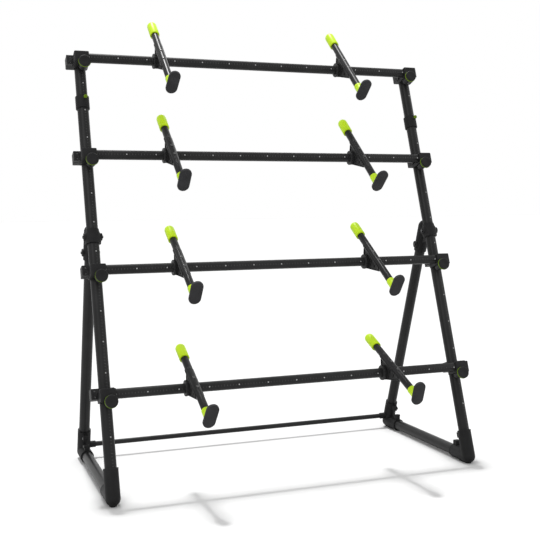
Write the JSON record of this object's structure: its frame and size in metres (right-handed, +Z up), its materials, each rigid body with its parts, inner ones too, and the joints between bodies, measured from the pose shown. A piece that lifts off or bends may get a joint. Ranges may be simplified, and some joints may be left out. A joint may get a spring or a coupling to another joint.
{
  "type": "tiered instrument rack",
  "caption": "Tall A-frame rack of round tubes with tiers of crossbars, each with sloping arms and end pads that hold instruments.",
  "frame": {"origin": "on the floor, at the middle of the rack's width and depth", "axes": "+X to the rack's left-to-right seen from the front, +Y to the back, +Z up"},
  "size_m": [1.346, 0.8196, 1.5786],
  "materials": {
    "frame_tube": "satin black",
    "crossbar_tube": "satin black",
    "arm_tube": "satin black",
    "fitting_plastic": "fine grain",
    "clamp_plastic": "fine grain",
    "knob_plastic": "fine grain",
    "green_plastic": "semi-gloss",
    "pad_rubber": "matt",
    "screw_steel": "black oxide"
  },
  "bodies": {
    "frame": {"lower_upright_left": "frame_tube", "upper_upright_left": "frame_tube", "rear_leg_left": "frame_tube", "foot_tube_left": "frame_tube", "front_elbow_left": "fitting_plastic", "rear_elbow_left": "fitting_plastic", "apex_fitting_left": "fitting_plastic", "lower_upright_right": "frame_tube", "upper_upright_right": "frame_tube", "rear_leg_right": "frame_tube", "foot_tube_right": "frame_tube", "front_elbow_right": "fitting_plastic", "rear_elbow_right": "fitting_plastic", "apex_fitting_right": "fitting_plastic", "rear_brace": "frame_tube", "frame_screws": "screw_steel"},
    "tier_1": {"crossbar_1": "crossbar_tube", "crossbar_clamps_1": "clamp_plastic"},
    "tier_2": {"crossbar_2": "crossbar_tube", "crossbar_clamps_2": "clamp_plastic"},
    "tier_3": {"crossbar_3": "crossbar_tube", "crossbar_clamps_3": "clamp_plastic"},
    "tier_4": {"crossbar_4": "crossbar_tube", "crossbar_clamps_4": "clamp_plastic"},
    "arm_clamp_1_left": {"arm_clamp_1_left": "clamp_plastic"},
    "arm_clamp_1_right": {"arm_clamp_1_right": "clamp_plastic"},
    "arm_clamp_2_left": {"arm_clamp_2_left": "clamp_plastic"},
    "arm_clamp_2_right": {"arm_clamp_2_right": "clamp_plastic"},
    "arm_clamp_3_left": {"arm_clamp_3_left": "clamp_plastic"},
    "arm_clamp_3_right": {"arm_clamp_3_right": "clamp_plastic"},
    "arm_clamp_4_left": {"arm_clamp_4_left": "clamp_plastic"},
    "arm_clamp_4_right": {"arm_clamp_4_right": "clamp_plastic"},
    "support_arm_1_left": {"support_arm_1_left": "arm_tube"},
    "support_arm_1_right": {"support_arm_1_right": "arm_tube"},
    "support_arm_2_left": {"support_arm_2_left": "arm_tube"},
    "support_arm_2_right": {"support_arm_2_right": "arm_tube"},
    "support_arm_3_left": {"support_arm_3_left": "arm_tube"},
    "support_arm_3_right": {"support_arm_3_right": "arm_tube"},
    "support_arm_4_left": {"support_arm_4_left": "arm_tube"},
    "support_arm_4_right": {"support_arm_4_right": "arm_tube"},
    "arm_pad_1_left": {"arm_pad_1_left": "pad_rubber"},
    "arm_pad_1_right": {"arm_pad_1_right": "pad_rubber"},
    "arm_pad_2_left": {"arm_pad_2_left": "pad_rubber"},
    "arm_pad_2_right": {"arm_pad_2_right": "pad_rubber"},
    "arm_pad_3_left": {"arm_pad_3_left": "pad_rubber"},
    "arm_pad_3_right": {"arm_pad_3_right": "pad_rubber"},
    "arm_pad_4_left": {"arm_pad_4_left": "pad_rubber"},
    "arm_pad_4_right": {"arm_pad_4_right": "pad_rubber"},
    "height_collar_left": {"height_collar_left": "fitting_plastic"},
    "height_collar_right": {"height_collar_right": "fitting_plastic"},
    "collar_knob_left": {"collar_knob_left": "green_plastic"},
    "collar_knob_right": {"collar_knob_right": "green_plastic"},
    "clamp_knob_1_left": {"clamp_knob_1_left": "knob_plastic"},
    "clamp_knob_1_right": {"clamp_knob_1_right": "knob_plastic"},
    "clamp_knob_2_left": {"clamp_knob_2_left": "knob_plastic"},
    "clamp_knob_2_right": {"clamp_knob_2_right": "knob_plastic"},
    "clamp_knob_3_left": {"clamp_knob_3_left": "knob_plastic"},
    "clamp_knob_3_right": {"clamp_knob_3_right": "knob_plastic"},
    "clamp_knob_4_left": {"clamp_knob_4_left": "knob_plastic"},
    "clamp_knob_4_right": {"clamp_knob_4_right": "knob_plastic"}
  },
  "joints": [
    {"name": "tier_1_height", "type": "slide", "parent": "frame", "child": "tier_1", "axis": [0, 0.3206, 0.9472], "range_m": [-0.12, 0.06]},
    {"name": "tier_2_height", "type": "slide", "parent": "frame", "child": "tier_2", "axis": [0, 0.3206, 0.9472], "range_m": [-0.06, 0.06]},
    {"name": "tier_3_height", "type": "slide", "parent": "frame", "child": "tier_3", "axis": [0, 0.3206, 0.9472], "range_m": [-0.06, 0.045]},
    {"name": "tier_4_height", "type": "slide", "parent": "frame", "child": "tier_4", "axis": [0, 0.3206, 0.9472], "range_m": [-0.04, 0]},
    {"name": "arm_1_left_along_bar", "type": "slide", "parent": "tier_1", "child": "arm_clamp_1_left", "axis": [1, 0, 0], "range_m": [-0.205, 0.28]},
    {"name": "arm_1_right_along_bar", "type": "slide", "parent": "tier_1", "child": "arm_clamp_1_right", "axis": [1, 0, 0], "range_m": [-0.26, 0.235]},
    {"name": "arm_2_left_along_bar", "type": "slide", "parent": "tier_2", "child": "arm_clamp_2_left", "axis": [1, 0, 0], "range_m": [-0.205, 0.28]},
    {"name": "arm_2_right_along_bar", "type": "slide", "parent": "tier_2", "child": "arm_clamp_2_right", "axis": [1, 0, 0], "range_m": [-0.26, 0.235]},
    {"name": "arm_3_left_along_bar", "type": "slide", "parent": "tier_3", "child": "arm_clamp_3_left", "axis": [1, 0, 0], "range_m": [-0.205, 0.28]},
    {"name": "arm_3_right_along_bar", "type": "slide", "parent": "tier_3", "child": "arm_clamp_3_right", "axis": [1, 0, 0], "range_m": [-0.26, 0.235]},
    {"name": "arm_4_left_along_bar", "type": "slide", "parent": "tier_4", "child": "arm_clamp_4_left", "axis": [1, 0, 0], "range_m": [-0.205, 0.28]},
    {"name": "arm_4_right_along_bar", "type": "slide", "parent": "tier_4", "child": "arm_clamp_4_right", "axis": [1, 0, 0], "range_m": [-0.26, 0.235]},
    {"name": "arm_1_left_slope", "type": "hinge", "parent": "arm_clamp_1_left", "child": "support_arm_1_left", "pos_m": [-0.3635, -0.16189, 0.33388], "axis": [1, 0, 0], "range_deg": [-15, 35]},
    {"name": "arm_1_right_slope", "type": "hinge", "parent": "arm_clamp_1_right", "child": "support_arm_1_right", "pos_m": [0.334, -0.16189, 0.33388], "axis": [1, 0, 0], "range_deg": [-15, 35]},
    {"name": "arm_2_left_slope", "type": "hinge", "parent": "arm_clamp_2_left", "child": "support_arm_2_left", "pos_m": [-0.3645, -0.03364, 0.71277], "axis": [1, 0, 0], "range_deg": [-24, 26]},
    {"name": "arm_2_right_slope", "type": "hinge", "parent": "arm_clamp_2_right", "child": "support_arm_2_right", "pos_m": [0.3305, -0.03364, 0.71277], "axis": [1, 0, 0], "range_deg": [-24, 26]},
    {"name": "arm_3_left_slope", "type": "hinge", "parent": "arm_clamp_3_left", "child": "support_arm_3_left", "pos_m": [-0.3585, 0.09364, 1.08881], "axis": [1, 0, 0], "range_deg": [-30, 20]},
    {"name": "arm_3_right_slope", "type": "hinge", "parent": "arm_clamp_3_right", "child": "support_arm_3_right", "pos_m": [0.3375, 0.09364, 1.08881], "axis": [1, 0, 0], "range_deg": [-30, 20]},
    {"name": "arm_4_left_slope", "type": "hinge", "parent": "arm_clamp_4_left", "child": "support_arm_4_left", "pos_m": [-0.361, 0.20746, 1.42507], "axis": [1, 0, 0], "range_deg": [-33, 17]},
    {"name": "arm_4_right_slope", "type": "hinge", "parent": "arm_clamp_4_right", "child": "support_arm_4_right", "pos_m": [0.3355, 0.20746, 1.42507], "axis": [1, 0, 0], "range_deg": [-33, 17]},
    {"name": "pad_1_left_turn", "type": "hinge", "parent": "support_arm_1_left", "child": "arm_pad_1_left", "pos_m": [-0.3635, -0.35693, 0.28804], "axis": [0, -0.8949, -0.4462], "range_deg": [-90, 90]},
    {"name": "pad_1_right_turn", "type": "hinge", "parent": "support_arm_1_right", "child": "arm_pad_1_right", "pos_m": [0.334, -0.35918, 0.299], "axis": [0, -0.9184, -0.3955], "range_deg": [-90, 90]},
    {"name": "pad_2_left_turn", "type": "hinge", "parent": "support_arm_2_left", "child": "arm_pad_2_left", "pos_m": [-0.3645, -0.22305, 0.64745], "axis": [0, -0.8453, -0.5344], "range_deg": [-90, 90]},
    {"name": "pad_2_right_turn", "type": "hinge", "parent": "support_arm_2_right", "child": "arm_pad_2_right", "pos_m": [0.3305, -0.22188, 0.64416], "axis": [0, -0.8358, -0.549], "range_deg": [-90, 90]},
    {"name": "pad_3_left_turn", "type": "hinge", "parent": "support_arm_3_left", "child": "arm_pad_3_left", "pos_m": [-0.3585, -0.08715, 1.00247], "axis": [0, -0.7793, -0.6266], "range_deg": [-90, 90]},
    {"name": "pad_3_right_turn", "type": "hinge", "parent": "support_arm_3_right", "child": "arm_pad_3_right", "pos_m": [0.3375, -0.08655, 1.00121], "axis": [0, -0.7749, -0.632], "range_deg": [-90, 90]},
    {"name": "pad_4_left_turn", "type": "hinge", "parent": "support_arm_4_left", "child": "arm_pad_4_left", "pos_m": [-0.361, 0.03093, 1.33031], "axis": [0, -0.749, -0.6626], "range_deg": [-90, 90]},
    {"name": "pad_4_right_turn", "type": "hinge", "parent": "support_arm_4_right", "child": "arm_pad_4_right", "pos_m": [0.3355, 0.03093, 1.33031], "axis": [0, -0.749, -0.6626], "range_deg": [-90, 90]},
    {"name": "height_collar_left_slide", "type": "slide", "parent": "frame", "child": "height_collar_left", "axis": [0, 0.3206, 0.9472], "range_m": [-0.105, 0.035]},
    {"name": "height_collar_right_slide", "type": "slide", "parent": "frame", "child": "height_collar_right", "axis": [0, 0.3206, 0.9472], "range_m": [-0.07, 0.08]},
    {"name": "collar_knob_left_turn", "type": "hinge", "parent": "height_collar_left", "child": "collar_knob_left", "pos_m": [-0.62147, 0.18072, 1.29054], "axis": [0.2419, -0.9191, 0.3111], "range_deg": [0, 360]},
    {"name": "collar_knob_right_turn", "type": "hinge", "parent": "height_collar_right", "child": "collar_knob_right", "pos_m": [0.63453, 0.16789, 1.25266], "axis": [0.2419, -0.9191, 0.3111], "range_deg": [0, 360]},
    {"name": "clamp_knob_1_left_turn", "type": "hinge", "parent": "tier_1", "child": "clamp_knob_1_left", "pos_m": [-0.621, -0.19106, 0.31631], "axis": [0, -0.9472, 0.3206], "range_deg": [0, 360]},
    {"name": "clamp_knob_1_right_turn", "type": "hinge", "parent": "tier_1", "child": "clamp_knob_1_right", "pos_m": [0.621, -0.19106, 0.31631], "axis": [0, -0.9472, 0.3206], "range_deg": [0, 360]},
    {"name": "clamp_knob_2_left_turn", "type": "hinge", "parent": "tier_2", "child": "clamp_knob_2_left", "pos_m": [-0.621, -0.06282, 0.6952], "axis": [0, -0.9472, 0.3206], "range_deg": [0, 360]},
    {"name": "clamp_knob_2_right_turn", "type": "hinge", "parent": "tier_2", "child": "clamp_knob_2_right", "pos_m": [0.621, -0.06282, 0.6952], "axis": [0, -0.9472, 0.3206], "range_deg": [0, 360]},
    {"name": "clamp_knob_3_left_turn", "type": "hinge", "parent": "tier_3", "child": "clamp_knob_3_left", "pos_m": [-0.621, 0.06447, 1.07124], "axis": [0, -0.9472, 0.3206], "range_deg": [0, 360]},
    {"name": "clamp_knob_3_right_turn", "type": "hinge", "parent": "tier_3", "child": "clamp_knob_3_right", "pos_m": [0.621, 0.06447, 1.07124], "axis": [0, -0.9472, 0.3206], "range_deg": [0, 360]},
    {"name": "clamp_knob_4_left_turn", "type": "hinge", "parent": "tier_4", "child": "clamp_knob_4_left", "pos_m": [-0.621, 0.17828, 1.4075], "axis": [0, -0.9472, 0.3206], "range_deg": [0, 360]},
    {"name": "clamp_knob_4_right_turn", "type": "hinge", "parent": "tier_4", "child": "clamp_knob_4_right", "pos_m": [0.621, 0.17828, 1.4075], "axis": [0, -0.9472, 0.3206], "range_deg": [0, 360]}
  ]
}
